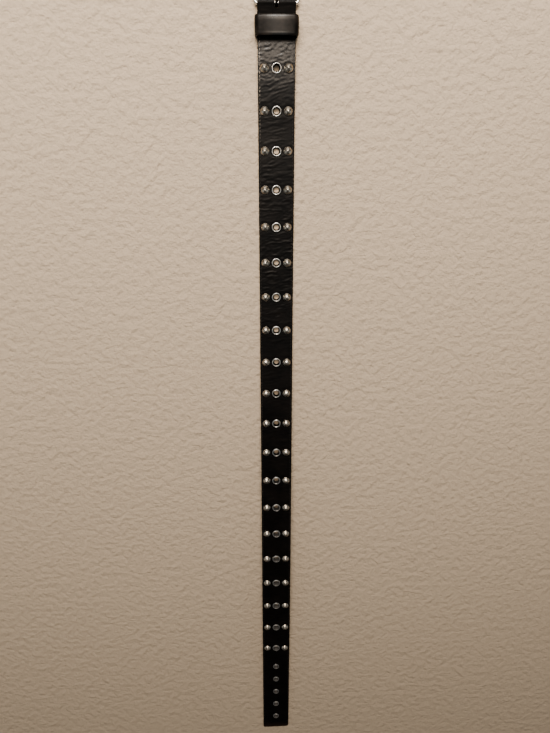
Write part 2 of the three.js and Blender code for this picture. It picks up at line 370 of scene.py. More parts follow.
def strapSection(walk):
    # outer and inner points in (y, z) at a distance walked from the tip
    front = strap["length"] - strap["foldEase"]
    ease = strap["easeWalk"]
    if walk <= front:
        along = strap["length"] - walk
        low = underside(along)
        return Vector((-along, low + strap["thickness"])), Vector((-along, low))
    walk -= front
    lift = Vector((0, heel.z))
    if walk <= ease:
        t = walk / ease
        outer = easeCurve(foldRadius, doubledTop, True, t)
        inner = easeCurve(strap["eyeRadius"], slitTop, True, t)
        return outer + lift, inner + lift
    walk -= ease
    if walk <= foldArc:
        angle = math.pi - strap["foldAngle"] - walk / foldMiddle
        way = Vector((math.cos(angle), math.sin(angle)))
        return way * foldRadius + lift, way * strap["eyeRadius"] + lift
    walk -= foldArc
    if walk <= ease:
        t = 1 - walk / ease
        outer = easeCurve(foldRadius, strap["foldBottom"], False, t)
        inner = easeCurve(strap["eyeRadius"], slitBottom, False, t)
        return outer + lift, inner + lift
    along = strap["foldEase"] + walk - ease
    skive = max(0.0, 1 - (strap["foldLength"] - along) / strap["foldSkive"])
    pared = skive * (strap["foldThickness"] - strap["foldEdge"])
    return Vector((-along, strap["foldBottom"] + pared)), Vector((-along, slitBottom))


walkLength = strap["length"] + strap["foldLength"] - 2 * (strap["foldEase"] - strap["easeWalk"]) + foldArc

wrinkles = {
    "depth": 0.26 * mm,
    "step": 2.2,  # this and the places and lengths below are in millimetres
    "slant": 0.12,
    "slantMore": 0.16,
    "slantPlace": (70, 45),  # along the strap, and how far it spreads
    "drift": 2.2,
    "driftCell": (15, 12),
    "coarseAcross": 9.5,
    "fineAcross": 4.5,
    "lineWidth": 0.15,
    "localCell": (22, 27),
    "workedPlace": (42, 26),  # the leather by the keeper is worked the most
    "pebbleCell": (3.0, 2.1),
    "rippledPlace": (262, 62),
}


def wrinkle(x, along):
    # crosswise creases: long across the strap, short along it, drifting and slightly slanted
    xs, ys = x / mm, along / mm
    driftX, driftY = wrinkles["driftCell"]
    drift = noise.noise(Vector((xs / driftX, ys / driftY, 3.1)))
    slant = wrinkles["slant"] + wrinkles["slantMore"] * nearTo(ys, *wrinkles["slantPlace"])
    way = (ys + slant * xs + wrinkles["drift"] * drift) / wrinkles["step"]
    coarse = noise.noise(Vector((xs / wrinkles["coarseAcross"], way, 0.4)))
    fine = noise.noise(Vector((xs / wrinkles["fineAcross"], way * 1.9, 7.7)))
    line = nearTo(coarse, 0.0, wrinkles["lineWidth"])
    localX, localY = wrinkles["localCell"]
    local = 0.62 + 0.5 * noise.noise(Vector((xs / localX, ys / localY, 11.0)))
    worked = nearTo(ys, *wrinkles["workedPlace"])
    pebbleX, pebbleY = wrinkles["pebbleCell"]
    pebble = noise.noise(Vector(((xs + 0.5 * ys) / pebbleX, (ys - 0.45 * xs) / pebbleY, 21.0)))
    depth = local + 0.5 * worked + 0.75 * nearTo(ys, *wrinkles["rippledPlace"])
    return (0.75 * coarse + 0.35 * fine - 0.8 * line) * depth + 1.1 * worked * pebble


drawnDown = {
    "depth": 0.22 * mm,
    "reach": 12 * mm,
    "ringRadius": 5.0 * mm,
    "studRadius": 4.5 * mm,
    "eyeletRadius": 4.2 * mm,
    "ringSlope": 1.3 * mm,
    "eyeletSlope": 1.2 * mm,
    "calmStart": -0.4 * mm,
    "calmLength": 1.8 * mm,
}


def fittingsNear(along):
    # (distance across, distance along, radius, slope) of each fitting that draws the leather down
    found = []
    for place in rowPlaces:
        if abs(place - along) < drawnDown["reach"]:
            found.append((0.0, place, drawnDown["ringRadius"], drawnDown["ringSlope"]))
            found.append((-studAcross, place, drawnDown["studRadius"], drawnDown["ringSlope"]))
            found.append((studAcross, place, drawnDown["studRadius"], drawnDown["ringSlope"]))
    for place in holePlaces:
        if abs(place - along) < drawnDown["reach"]:
            found.append((0.0, place, drawnDown["eyeletRadius"], drawnDown["eyeletSlope"]))
    return found


def seatDip(x, along):
    # the leather is drawn down round each fitting, and its wrinkles are pressed flat there
    dip, calm = 0.0, 1.0
    for across, place, radius, slope in fittingsNear(along):
        beyond = math.hypot(x - across, along - place) - radius
        dip += nearTo(max(beyond, 0.0), 0.0, slope)
        calm *= smoothStep((beyond - drawnDown["calmStart"]) / drawnDown["calmLength"])
    return min(dip, 1.0), calm


stitch = {
    "inset": 1.9 * mm,
    "pitch": 3.4 * mm,
    "length": 2.5 * mm,
    "width": 0.62 * mm,
    "channel": 0.16 * mm,
    "channelHalf": 0.55 * mm,
    "start": 8.5 * mm,
    "end": 6 * mm,  # from the tip
    "lean": 0.13,
}


def frontRelief(x, along):
    dip, calm = seatDip(x, along)
    edge = abs(x) - (half - strap["edgeRound"])
    relief = wrinkles["depth"] * wrinkle(x, along) * calm - drawnDown["depth"] * dip
    relief -= stitch["channel"] * nearTo(abs(x), half - stitch["inset"], stitch["channelHalf"])
    relief *= smoothStep((along - strap["smoothEnd"]) / strap["smoothFade"])
    sinks = smoothStep((along - strap["foldEase"]) / strap["hollowSink"])
    rises = smoothStep((along - strap["hollowEnd"]) / strap["hollowRise"])
    relief -= strap["keeperHollow"] * (sinks - rises)
    if edge > 0:
        radius = strap["edgeRound"]
        relief = relief * (1 - edge / radius) - (radius - math.sqrt(max(radius**2 - edge**2, 0.0)))
    return relief


def columnPlaces():
    inner = half - strap["edgeRound"]
    count = strap["innerColumns"]
    places = [inner * (2 * i / count - 1) for i in range(count + 1)]
    outer = [inner + strap["edgeRound"] * share for share in strap["edgeColumns"]]
    return [-place for place in reversed(outer)] + places + outer


def makeStrapSheet():
    # a flat grid first: x across, y walked from the tip, then a second layer one unit lower
    columns = columnPlaces()
    rows = round(walkLength / strap["cell"])
    bm = bmesh.new()
    bmesh.ops.create_grid(bm, x_segments=len(columns) - 1, y_segments=rows, size=0.5)
    for vertex in bm.verts:
        column = round((vertex.co.x + 0.5) * (len(columns) - 1))
        vertex.co = (columns[column], (vertex.co.y + 0.5) * walkLength, 0.0)
    cutHoles(bm)
    cutSlot(bm)
    return bm


def cutHoles(bm):
    seats = [(strap["length"] - along, strap["ringSeat"]) for along in rowPlaces]
    seats += [(strap["length"] - along, strap["eyeletSeat"]) for along in holePlaces]
    for walk, radius in seats:
        middle = Vector((0.0, walk, 0.0))
        inside = [f for f in bm.faces if (f.calc_center_median() - middle).length < radius]
        bmesh.ops.delete(bm, geom=inside, context="FACES")
        reach = radius + strap["holeReach"]
        for vertex in bm.verts:
            if vertex.is_boundary and (vertex.co - middle).length < reach:
                vertex.co = middle + (vertex.co - middle).normalized() * radius


def cutSlot(bm):
    # the slot for the prong runs round the fold and is round at both ends
    start = strap["length"] - strap["slotEnd"]
    end = walkLength - strap["foldLength"] + strap["slotEnd"]
    slotHalf = strap["slotHalf"]

    def slotMiddle(point):
        return Vector((0.0, min(max(point.y, start + slotHalf), end - slotHalf), 0.0))

    def beyondSlot(point):
        return (point - slotMiddle(point)).length - slotHalf

    inside = [f for f in bm.faces if beyondSlot(f.calc_center_median()) < 0]
    bmesh.ops.delete(bm, geom=inside, context="FACES")
    reach = strap["holeReach"]
    for vertex in bm.verts:
        if vertex.is_boundary and abs(vertex.co.x) < slotHalf + reach and beyondSlot(vertex.co) < reach:
            middle = slotMiddle(vertex.co)
            vertex.co = middle + (vertex.co - middle).normalized() * slotHalf


def shapeTip(x, walk):
    # squared, slightly slanted tip with round corners
    slant = strap["tipSlant"] * (x / strap["width"] + 0.5) * (1 - smoothStep(walk / strap["tipSlantReach"]))
    corner = strap["tipCorner"] if x > 0 else strap["tipCorner"] / 2
    if walk < corner:
        narrow = corner - math.sqrt(corner**2 - (corner - walk) ** 2)
        x *= (half - narrow) / half
    return x, walk + slant


def layerIndex(face):
    # 0 for the upper layer, 1 for the walls between the layers, 2 for the lower layer
    height = face.calc_center_median().z
    if height > -0.01:
        return 0
    return 1 if height > -0.99 else 2


def makeStrap():
    bm = makeStrapSheet()
    grown = bmesh.ops.extrude_face_region(bm, geom=bm.faces[:])["geom"]
    lower = [g for g in grown if isinstance(g, bmesh.types.BMVert)]
    bmesh.ops.translate(bm, verts=lower, vec=(0, 0, -1))
    runMap = bm.loops.layers.uv.new("run")
    for face in bm.faces:
        for loop in face.loops:
            loop[runMap].uv = (loop.vert.co.x, loop.vert.co.y)
        face.material_index = layerIndex(face)
    for vertex in bm.verts:
        flatX, walk, layer = vertex.co
        x, walk = shapeTip(flatX, walk)
        outer, inner = strapSection(walk)
        through = (inner - outer).normalized()
        if layer < -0.5:
            edge = max(abs(flatX) - (half - strap["edgeRound"]), 0.0) / strap["edgeRound"]
            place = inner - through * (0.45 * strap["edgeRound"] * edge**2)
        else:
            along = strap["length"] - walk
            place = outer - through * frontRelief(flatX, along)
        vertex.co = (x, heel.y + place.x, place.y)
    return bm


leather = {
    "black": colour(0.002, 0.0016, 0.0014),
    "worn": colour(0.009, 0.0068, 0.0055),
    "tip": colour(0.03, 0.018, 0.012),
    "coatTint": colour(1.0, 0.87, 0.74),
    "keeperEnd": (32 * mm, 36 * mm),  # the polish starts below the keeper
    "brightPolish": (50 * mm, 110 * mm),  # it fades along these stretches
    "softPolish": (200 * mm, 600 * mm),
    "barPolish": (2 * mm, 6 * mm),
    "studHalo": (4.4 * mm, 6.6 * mm),  # no polish in the dips round the fittings
    "ringHalo": (4.9 * mm, 7.0 * mm),
    "tipWear": 12 * mm,
}


def besideFittings(across, along):
    # 0 in the dips round the rows' fittings, 1 beyond them
    pitch = rowPlaces[1] - rowPlaces[0]
    fromRow = along.maths("PINGPONG", along - rowPlaces[0], pitch / 2)
    fromStud = ((across.size() - studAcross) ** 2.0 + fromRow**2.0) ** 0.5
    fromRing = (across**2.0 + fromRow**2.0) ** 0.5
    return fromStud.fade(*leather["studHalo"]) * fromRing.fade(*leather["ringHalo"])


def strapLeather():
    f = Finish("strap_leather")
    run = f.run()
    across, walked, _ = f.parts(run)
    along = strap["length"] - walked
    creases = f.noise(f.stretched(run, (105.0, 430.0, 1.0), 0.16), 1.0, 3.0, 0.55)
    streaks = f.noise(f.stretched(run, (260.0, 1150.0, 1.0), 0.12), 1.0, 2.0, 0.5)
    grain = f.noise(run, 2600.0, 2.0, 0.6)
    patches = f.noise(run, 38.0, 2.0, 0.5)
    ridges = creases.fade(0.42, 0.72)
    worn = (patches.fade(0.42, 0.7) * 0.5 + ridges * 0.5) * 0.6
    clear = along.fade(*leather["keeperEnd"])
    bright = (1.0 - along.fade(*leather["brightPolish"])) * 0.36
    soft = (1.0 - along.fade(*leather["softPolish"])) * 0.1
    overBar = (1.0 - along.fade(*leather["barPolish"])) * 0.07
    polish = (clear * (bright + soft) + overBar) * (0.2 + 0.8 * besideFittings(across, along))
    tip = along.fade(strap["length"] - leather["tipWear"], strap["length"]) * 0.5
    f.surface(
        Base_Color=f.mix(tip, f.mix(worn, leather["black"], leather["worn"]), leather["tip"]),
        Roughness=0.36 + 0.12 * patches - 0.06 * ridges + 0.35 * (1.0 - clear),
        Specular_IOR_Level=0.05,
        Coat_Weight=polish * (0.8 + 0.4 * patches),
        Coat_Roughness=0.24,
        Coat_Tint=leather["coatTint"],
        Normal=f.bump(creases * 0.55 + streaks * 0.3 + grain * 0.12, 0.5 * mm, 0.7),
    )
    return f


def edgePaint():
    f = Finish("edge_paint")
    place = f.objectPlace()
    speckle = f.noise(place, 900.0, 3.0, 0.6)
    worn = speckle.fade(0.55, 0.75)
    f.surface(
        Base_Color=f.mix(worn, colour(0.004, 0.003, 0.0026), colour(0.011, 0.0075, 0.006)),
        Roughness=0.42 + 0.2 * speckle,
        Specular_IOR_Level=0.25,
        Normal=f.bump(speckle, 0.2 * mm, 0.5),
    )
    return f


def strapBack():
    f = Finish("strap_back")
    run = f.run()
    fibres = f.noise(f.stretched(run, (900.0, 500.0, 1.0)), 1.0, 4.0, 0.65)
    patches = f.noise(run, 60.0, 3.0, 0.5)
    f.surface(
        Base_Color=f.mix(patches, colour(0.020, 0.014, 0.011), colour(0.048, 0.033, 0.025)),
        Roughness=0.62 + 0.2 * fibres,
        Normal=f.bump(fibres, 0.25 * mm, 0.6),
    )
    return f


edgeFinish = edgePaint()
strapMesh = finishMesh("leather_strap", makeStrap(), [strapLeather(), edgeFinish, strapBack()], sharp=50)
addPiece("leather_strap", strapMesh, beltBody, ["strap"])

print("belt: edge stitching")


def makeStitching():
    bead = bmesh.new()
    shape = Matrix.Diagonal((stitch["width"] / 2, stitch["length"] / 2, stitch["width"] * 0.42, 1))
    bmesh.ops.create_uvsphere(bead, u_segments=8, v_segments=5, radius=1.0, matrix=shape)
    pattern = bpy.data.meshes.new("stitch_bead")
    bead.to_mesh(pattern)
    bead.free()
    bm = bmesh.new()
    count = int((strap["length"] - stitch["start"] - stitch["end"]) / stitch["pitch"])
    for side in (-1, 1):
        across = side * (half - stitch["inset"])
        for number in range(count):
            along = stitch["start"] + (number + 0.5) * stitch["pitch"]
            seat = placeOnStrap(across, along, strap["thickness"] - stitch["channel"] * 0.5)
            turn = Matrix.Rotation(side * stitch["lean"], 4, "Z")
            bm.from_mesh(pattern)
            bm.verts.ensure_lookup_table()
            bmesh.ops.transform(bm, matrix=seat @ turn, verts=bm.verts[-len(pattern.vertices):])
    bpy.data.meshes.remove(pattern)
    return bm


def threadFinish():
    f = Finish("waxed_thread")
    place = f.objectPlace()
    across, forward, _ = f.parts(place)
    twist = f.noise(place, 1500.0, 2.0, 0.5)
    along = heel.y - forward
    # painted highlight: the left row of stitches below the keeper is made pale where the lamps glint on it
    nearKeeper = (1.0 - along.fade(50 * mm, 150 * mm)) * along.fade(30 * mm, 36 * mm)
    leftSide = (0.0 - across).fade(0.0, 10 * mm)
    paintedGlint = nearKeeper * leftSide * f.noise(place, 160.0, 2.0, 0.5).fade(0.25, 0.6)  # painted highlight: pale thread standing in for the lamps' glint
    f.surface(
        Base_Color=f.mix(paintedGlint, colour(0.02, 0.017, 0.015), colour(0.44, 0.385, 0.31)),
        Roughness=0.42 + 0.15 * twist,
        Specular_IOR_Level=0.15,
        Normal=f.bump(twist, 0.15 * mm, 0.5),
    )
    return f


stitchMesh = finishMesh("edge_stitching", makeStitching(), [threadFinish()], sharp=80)
addPiece("edge_stitching", stitchMesh, beltBody)

print("belt: studs")
stud = {
    "radius": sizeOf("stud_left_5").x / 2,
    "height": 3.2 * mm,
    "brim": 0.3 * mm,
    "brimHeight": 0.3 * mm,
    "sides": 40,
    "tipRound": 0.16,  # shares of the radius over which the cone's tip and foot are rounded
    "footRound": 0.3,
    "footShare": 0.2,  # how much of the height the foot's curve takes
    "rings": (0.97, 0.93, 0.87, 0.8, 0.7, 0.55, 0.4, 0.26, 0.17, 0.1, 0.05, 0.0),
}


def studRows():
    # a low cone with a round tip and a foot that curves down to a thin brim
    body = stud["radius"] - stud["brim"]
    low = stud["brimHeight"] + 0.08 * mm
    rows = [
        (0.0, 0.0),
        (stud["radius"] - 0.1 * mm, 0.0),
        (stud["radius"], 0.12 * mm),
        (stud["radius"] - 0.06 * mm, stud["brimHeight"]),
        (body, low),
    ]
    reach = math.hypot(1, stud["tipRound"])
    for share in stud["rings"]:
        tip = (reach - math.hypot(share, stud["tipRound"])) / (reach - stud["tipRound"])
        foot = 1 - (max(share - 1 + stud["footRound"], 0.0) / stud["footRound"]) ** 2
        rise = tip * (1 - stud["footShare"]) + foot * stud["footShare"]
        rows.append((body * share, low + (stud["height"] - low) * rise))
    return rows


def agedSilver():
    f = Finish("aged_silver")
    place = f.objectPlace()
    cloud = f.noise(place, 420.0, 3.0, 0.6)
    specks = f.noise(place, 2200.0, 2.0, 0.6)
    tarnish = cloud.fade(0.5, 0.78) * 0.55 + specks.fade(0.62, 0.8) * 0.25
    f.surface(
        Base_Color=f.mix(tarnish, colour(0.56, 0.49, 0.4), colour(0.15, 0.12, 0.085)),
        Metallic=1.0,
        Roughness=0.17 + 0.2 * cloud + 0.1 * tarnish,
        Normal=f.bump(specks + cloud, 0.05 * mm, 0.35),
    )
    return f


studMesh = finishMesh("stud", turnedProfile(studRows(), stud["sides"]), [agedSilver()], sharp=60)
for side, across in (("left", -studAcross), ("right", studAcross)):
    for number, along in enumerate(rowPlaces, 1):
        seat = placeOnStrap(across, along, strap["thickness"] + clearance)
        node = f"stud_{side}_{number}"
        addCopy(f"metal_{node}", studMesh, seat, [node])

print("belt: eyelets")
ring = {
    "bore": 2.8 * mm,
    "outer": 5.0 * mm,
    "height": 0.95 * mm,
    "wall": 0.4 * mm,
    "back": 4.5 * mm,
    "sides": 40,
}
eyelet = {
    "bore": 2.25 * mm,
    "outer": 4.2 * mm,
    "height": 0.9 * mm,
    "wall": 0.4 * mm,
    "back": 3.9 * mm,
    "sides": 36,
}
rim = {
    "shadeFrom": 0.37,  # share of the way inward at which the bright rim ends and the barrel's painted shade begins
    "tipStretch": (420 * mm, 720 * mm),  # the stretch towards the tip over which the eyelets' rims turn rougher and darker, the darker colour being painted shade, and the barrels turn grey
    "rows": [
        (0.0, -0.1),  # shares of the way from the rim's edge to the bore, and of its height
        (0.0, 0.3),
        (0.04, 0.58),
        (0.11, 0.82),
        (0.2, 0.97),
        (0.29, 1.0),
        (0.38, 0.92),
        (0.46, 0.7),
        (0.52, 0.35),
        (0.6, -0.2),
        (0.74, -0.9),
        (1.0, -1.9),
    ],
    "hidden": [(0.26, -0.9), (0.42, -0.1)],  # the unseen side, as shares outward from the wall
}


def eyeletRows(sizes):
    # rolled rim that funnels into the barrel, and a flat back flange, as one closed outline
    top, height = strap["thickness"], sizes["height"]
    width = sizes["outer"] - sizes["bore"]
    rows = [(sizes["outer"] - inward * width, top + rise * height) for inward, rise in rim["rows"]]
    foot = rows[-1][1]
    low = -strap["standOff"]
    rows += [
        (sizes["bore"], low + 0.15 * mm),
        (sizes["bore"] + 0.15 * mm, low),
        (sizes["back"] - 0.2 * mm, low),
        (sizes["back"], low + 0.2 * mm),
        (sizes["back"], -0.25 * mm),
    ]
    wall = sizes["bore"] + sizes["wall"]
    rows += [(wall, -0.25 * mm), (wall, foot)]
    return rows + [(wall + outward * width, top + rise * height) for outward, rise in rim["hidden"]]


# painted shade: the eyelets' inner funnel and barrel are near black
def shadedBarrel():
    f = Finish("barrel_painted_shade")
    place = f.objectPlace()
    cloud = f.noise(place, 700.0, 2.0, 0.5)
    _, forward, _ = f.parts(place)
    grey = (heel.y - forward).fade(*rim["tipStretch"])  # not as black near the tip
    black = f.mix(cloud, colour(0.006, 0.0055, 0.0045), colour(0.003, 0.0026, 0.002))
    f.surface(
        Base_Color=f.mix(grey, black, colour(0.15, 0.14, 0.13)),
        Metallic=0.8,
        Roughness=0.55 + 0.2 * cloud,
        Specular_IOR_Level=0.1,
    )
    return f


def madeEyelet(name, sizes):
    # the rim is bright; the funnel and barrel below it are coloured near black, painted shade inside the
    # bore
    bm = turnedProfile(eyeletRows(sizes), sizes["sides"], closed=True)
    funnel = sizes["outer"] - rim["shadeFrom"] * (sizes["outer"] - sizes["bore"])
    for face in bm.faces:
        middle = face.calc_center_median()
        radius = math.hypot(middle.x, middle.y)
        inside = radius < funnel and (middle.z > 0 or radius < sizes["bore"] + 0.1 * mm)
        face.material_index = int(inside)
    return finishMesh(name, bm, [eyeletFinish, barrelFinish], sharp=60)


def brightSilver():
    f = Finish("bright_silver")
    place = f.objectPlace()
    cloud = f.noise(place, 500.0, 3.0, 0.6)
    specks = f.noise(place, 2600.0, 2.0, 0.5)
    _, forward, _ = f.parts(place)
    tipDullAndShade = (heel.y - forward).fade(*rim["tipStretch"])
    spots = cloud.fade(0.5, 0.8) * 0.3
    f.surface(
        # painted shade: the rims' colour darkens towards the tip; their roughness rises there too
        Base_Color=f.mix(spots + tipDullAndShade * 0.62, colour(0.94, 0.92, 0.88), colour(0.22, 0.21, 0.195)),
        Metallic=1.0,
        Roughness=0.24 + 0.12 * cloud + 0.2 * tipDullAndShade,
        Normal=f.bump(specks, 0.03 * mm, 0.3),
    )
    return f


eyeletFinish, barrelFinish = brightSilver(), shadedBarrel()
ringMesh = madeEyelet("large_eyelet", ring)
for number, along in enumerate(rowPlaces, 1):
    addCopy(f"large_eyelet_{number}", ringMesh, placeOnStrap(0.0, along))
eyeletMesh = madeEyelet("eyelet", eyelet)
for number, along in enumerate(holePlaces, 1):
    node = f"eyelet_{number}"
    addCopy(f"metal_{node}", eyeletMesh, placeOnStrap(0.0, along), [node])
for pattern in (studMesh, ringMesh, eyeletMesh):
    bpy.data.meshes.remove(pattern)

print("belt: keeper")
keeperLow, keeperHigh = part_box("keeper")
keeper = {
    "wall": 1.8 * mm,
    "topCorner": 5 * mm,
    "bottomCorner": 3 * mm,
    "crown": 0.8 * mm,
    "edgeRound": 0.5 * mm,
    "innerRound": 0.3,  # share of the rounding on the inner side
    "swell": 0.22 * mm,
    "swellLow": 4 * mm,  # height at which the swelling starts
    "swellRise": 9 * mm,
    "fullest": 4.5 * mm,  # from the edge nearer the buckle
    "taper": 22 * mm,
    "around": 120,
    "acrossCells": 16,
    "mapWidth": 0.12,  # about the length round the loop, in metres
}


def keeperStretches(inset):
    # straight runs and corners of one loop in (x, z), each as (mesh cells, point at t)
    right = keeperHigh.x - inset
    bottom = keeperLow.z + inset
    top = keeperHigh.z - keeper["crown"] - inset
    low = keeper["bottomCorner"] - inset
    high = keeper["topCorner"] - inset

    def corner(x, z, radius, start):
        def at(t):
            angle = start + t * math.pi / 2
            return Vector((x + radius * math.cos(angle), z + radius * math.sin(angle)))

        return at

    def line(start, end):
        return lambda t: Vector(start).lerp(Vector(end), t)

    def crowned(t):
        x = (right - high) * (1 - 2 * t)
        return Vector((x, top + keeper["crown"] * (1 - (2 * t - 1) ** 2)))

    return [
        (18, line((0, bottom), (right - low, bottom))),
        (6, corner(right - low, bottom + low, low, -math.pi / 2)),
        (10, line((right, bottom + low), (right, top - high))),
        (10, corner(right - high, top - high, high, 0.0)),
        (32, crowned),
        (10, corner(high - right, top - high, high, math.pi / 2)),
        (10, line((-right, top - high), (-right, bottom + low))),
        (6, corner(low - right, bottom + low, low, math.pi)),
        (18, line((low - right, bottom), (0, bottom))),
    ]


def loopPoint(stretches, share):
    total = sum(weight for weight, _ in stretches)
    left = share * total
    for weight, at in stretches:
        if left <= weight + 1e-9:
            return at(min(left / weight, 1.0))
        left -= weight
    return stretches[-1][1](1.0)


def edgePull(fromEnd):
    # how far the rounding of an end draws the wall in
    radius = keeper["edgeRound"]
    into = max(radius - fromEnd, 0.0)
    return radius - math.sqrt(max(radius**2 - into**2, 0.0))


def keeperSwell(fromTop, height):
    fills = smoothStep(fromTop / keeper["fullest"])
    empties = smoothStep((fromTop - keeper["fullest"]) / keeper["taper"])
    upward = smoothStep((height - keeper["swellLow"]) / keeper["swellRise"])
    return keeper["swell"] * (fills - empties) * upward


def makeKeeper():
    outside, inside = keeperStretches(0.0), keeperStretches(keeper["wall"])
    bm = bmesh.new()
    bmesh.ops.create_grid(bm, x_segments=keeper["around"], y_segments=keeper["acrossCells"], size=0.5)
    grown = bmesh.ops.extrude_face_region(bm, geom=bm.faces[:])["geom"]
    lower = [g for g in grown if isinstance(g, bmesh.types.BMVert)]
    bmesh.ops.translate(bm, verts=lower, vec=(0, 0, -1))
    length = keeperHigh.y - keeperLow.y
    runMap = bm.loops.layers.uv.new("run")
    for face in bm.faces:
        for loop in face.loops:
            loop[runMap].uv = (loop.vert.co.x * keeper["mapWidth"], loop.vert.co.y * length)
        face.material_index = 1 if layerIndex(face) == 1 else 0
    for vertex in bm.verts:
        share, way, layer = vertex.co.x + 0.5, vertex.co.y + 0.5, vertex.co.z
        outer, inner = loopPoint(outside, share), loopPoint(inside, share)
        wall = (inner - outer).normalized()
        pull = edgePull(min(way, 1 - way) * length)
        if layer < -0.5:
            place = inner - wall * (keeper["innerRound"] * pull)
        else:
            place = outer + wall * (pull - keeperSwell((1 - way) * length, outer.y))
        vertex.co = (place.x, keeperLow.y + way * length, place.y)
    bmesh.ops.remove_doubles(bm, verts=bm.verts, dist=1e-6)
    slivers = [f for f in bm.faces if f.calc_area() < 1e-12]
    bmesh.ops.delete(bm, geom=slivers, context="FACES")
    return bm


keeperShine = {
    "black": colour(0.004, 0.0034, 0.003),
    "worn": colour(0.014, 0.011, 0.009),
    "middle": 1.5 * mm,  # it is rubbed in the middle, a little to the right
    "middleFade": (2 * mm, 17 * mm),
    "topEdge": (2.5 * mm, 6 * mm),  # from the edge nearer the buckle
    "lowEdge": (1 * mm, 4 * mm),
    "faceHeight": (10 * mm, 14 * mm),
}


def keeperLeather():
    f = Finish("keeper_leather")
    place = f.objectPlace()
    across, forward, height = f.parts(place)
    centre = 1.0 - (across - keeperShine["middle"]).size().fade(*keeperShine["middleFade"]) * 0.85
    topEdge = 1.0 - (keeperHigh.y - forward).fade(*keeperShine["topEdge"])
    lowEdge = 1.0 - (forward - keeperLow.y).fade(*keeperShine["lowEdge"])
    face = height.fade(*keeperShine["faceHeight"])
    grain = f.noise(place, 950.0, 3.0, 0.6)
    folds = f.noise(f.stretched(f.run(), (300.0, 90.0, 1.0)), 1.0, 2.0, 0.5)
    patches = f.noise(place, 130.0, 2.0, 0.5)
    f.surface(
        Base_Color=f.mix(patches.fade(0.4, 0.7), keeperShine["black"], keeperShine["worn"]),
        Roughness=0.32 + 0.12 * patches,
        Specular_IOR_Level=0.035,
        Coat_Weight=face * centre * (0.19 + 0.4 * topEdge + 0.55 * lowEdge),
        Coat_Roughness=0.26,
        Coat_Tint=leather["coatTint"],
        Normal=f.bump(folds * 0.6 + grain * 0.8, 0.35 * mm, 0.5),
    )
    return f


keeperMesh = finishMesh("leather_keeper", makeKeeper(), [keeperLeather(), edgeFinish], sharp=50)
addPiece("leather_keeper", keeperMesh, beltBody, ["keeper"])

print("belt: buckle")
buckle = {
    "wire": 1.7 * mm,
    "length": 43 * mm,
    "frontCorner": 9 * mm,
    "sides": 20,
    "step": 2.2 * mm,
    "cornerSteps": 9,
    # the next reach is how far the painted shade on the prong's loop goes
    "loopShadeReach": (6 * mm, 10 * mm),  # in front of the heel bar
}
buckle["side"] = sizeOf("buckle_frame").x / 2 - buckle["wire"]
buckle["heelCorner"] = buckle["side"] - half
buckle["tilt"] = math.asin((heel.z - buckle["wire"]) / buckle["length"])


def frameOutline():
    # points of (place, forward) round the wire's middle line, in the frame's own plane
    side, length = buckle["side"], buckle["length"]
    near, far = buckle["heelCorner"], buckle["frontCorner"]
    runs = [
        ((near - side, 0), (side - near, 0), near, -math.pi / 2),
        ((side, near), (side, length - far), far, 0.0),
        ((side - far, length), (far - side, length), far, math.pi / 2),
        ((-side, length - far), (-side, near), near, math.pi),
    ]
    points = []
    for start, end, radius, angle in runs:
        start, end = Vector(start), Vector(end)
        forward = (end - start).normalized()
        count = max(2, round((end - start).length / buckle["step"]))
        points += [(start.lerp(end, i / count), forward) for i in range(count)]
        middle = end + radius * Vector((-forward.y, forward.x))
        for i in range(buckle["cornerSteps"]):
            turn = angle + (math.pi / 2) * i / buckle["cornerSteps"]
            spoke = Vector((math.cos(turn), math.sin(turn)))
            points.append((middle + radius * spoke, Vector((-spoke.y, spoke.x))))
    return points


def makeFrame():
    tilt = Matrix.Translation(heel) @ Matrix.Rotation(-buckle["tilt"], 4, "X")
    up = Vector((0, 0, 1))
    wire = buckle["wire"]
    stations = [(p.to_3d(), forward.to_3d(), up, wire, wire) for p, forward in frameOutline()]
    bm = sweptWire(bmesh.new(), stations, buckle["sides"], closed=True)
    bmesh.ops.transform(bm, matrix=tilt, verts=bm.verts)
    return bm


def nickel(name, shadedLoop):
    # painted shade: the prong's loop round the bar is coloured near black and made rougher, standing in for
    # the shade in the slot
    f = Finish(name)
    place = f.objectPlace()
    _, forward, _ = f.parts(place)
    loopShade = 1.0 - (forward - heel.y).fade(*buckle["loopShadeReach"]) if shadedLoop else 0.0
    cloud = f.noise(place, 260.0, 3.0, 0.6)
    scratch = f.noise(f.stretched(place, (2600.0, 240.0, 2600.0)), 1.0, 2.0, 0.5)
    dark = cloud.fade(0.5, 0.8) * 0.5 + loopShade
    f.surface(
        Base_Color=f.mix(dark, colour(0.74, 0.73, 0.70), colour(0.004, 0.0036, 0.0032)),
        Metallic=1.0,
        Roughness=0.14 + 0.12 * cloud + 0.08 * scratch + 0.4 * loopShade,
        Normal=f.bump(scratch, 0.02 * mm, 0.3),
    )
    return f


frameMesh = finishMesh("wire_frame", makeFrame(), [nickel("polished_nickel", shadedLoop=False)], sharp=60)
addPiece("wire_frame", frameMesh, frameBody, ["buckle_frame"])

prong = {
    "radius": 1.5 * mm,
    "loopHalf": 0.8 * mm,  # half the flattened wire's thickness in the loop
    "reach": buckle["length"] + buckle["wire"] / 2,
    "lift": 0.45 * mm,
    "point": [(1.0, 0.3), (0.996, 0.55), (0.985, 0.78), (0.965, 0.93)],  # shares of reach and radius
    "shank": [0.93, 0.6, 0.25],
    "bendStart": 8 * mm,
    "bendReach": 2.6 * mm,
    "bendSteps": 6,
    "meetAngle": math.radians(62),  # where the bend joins the loop
    "loopEnd": math.radians(360 - 42),
    "loopSteps": 20,
}


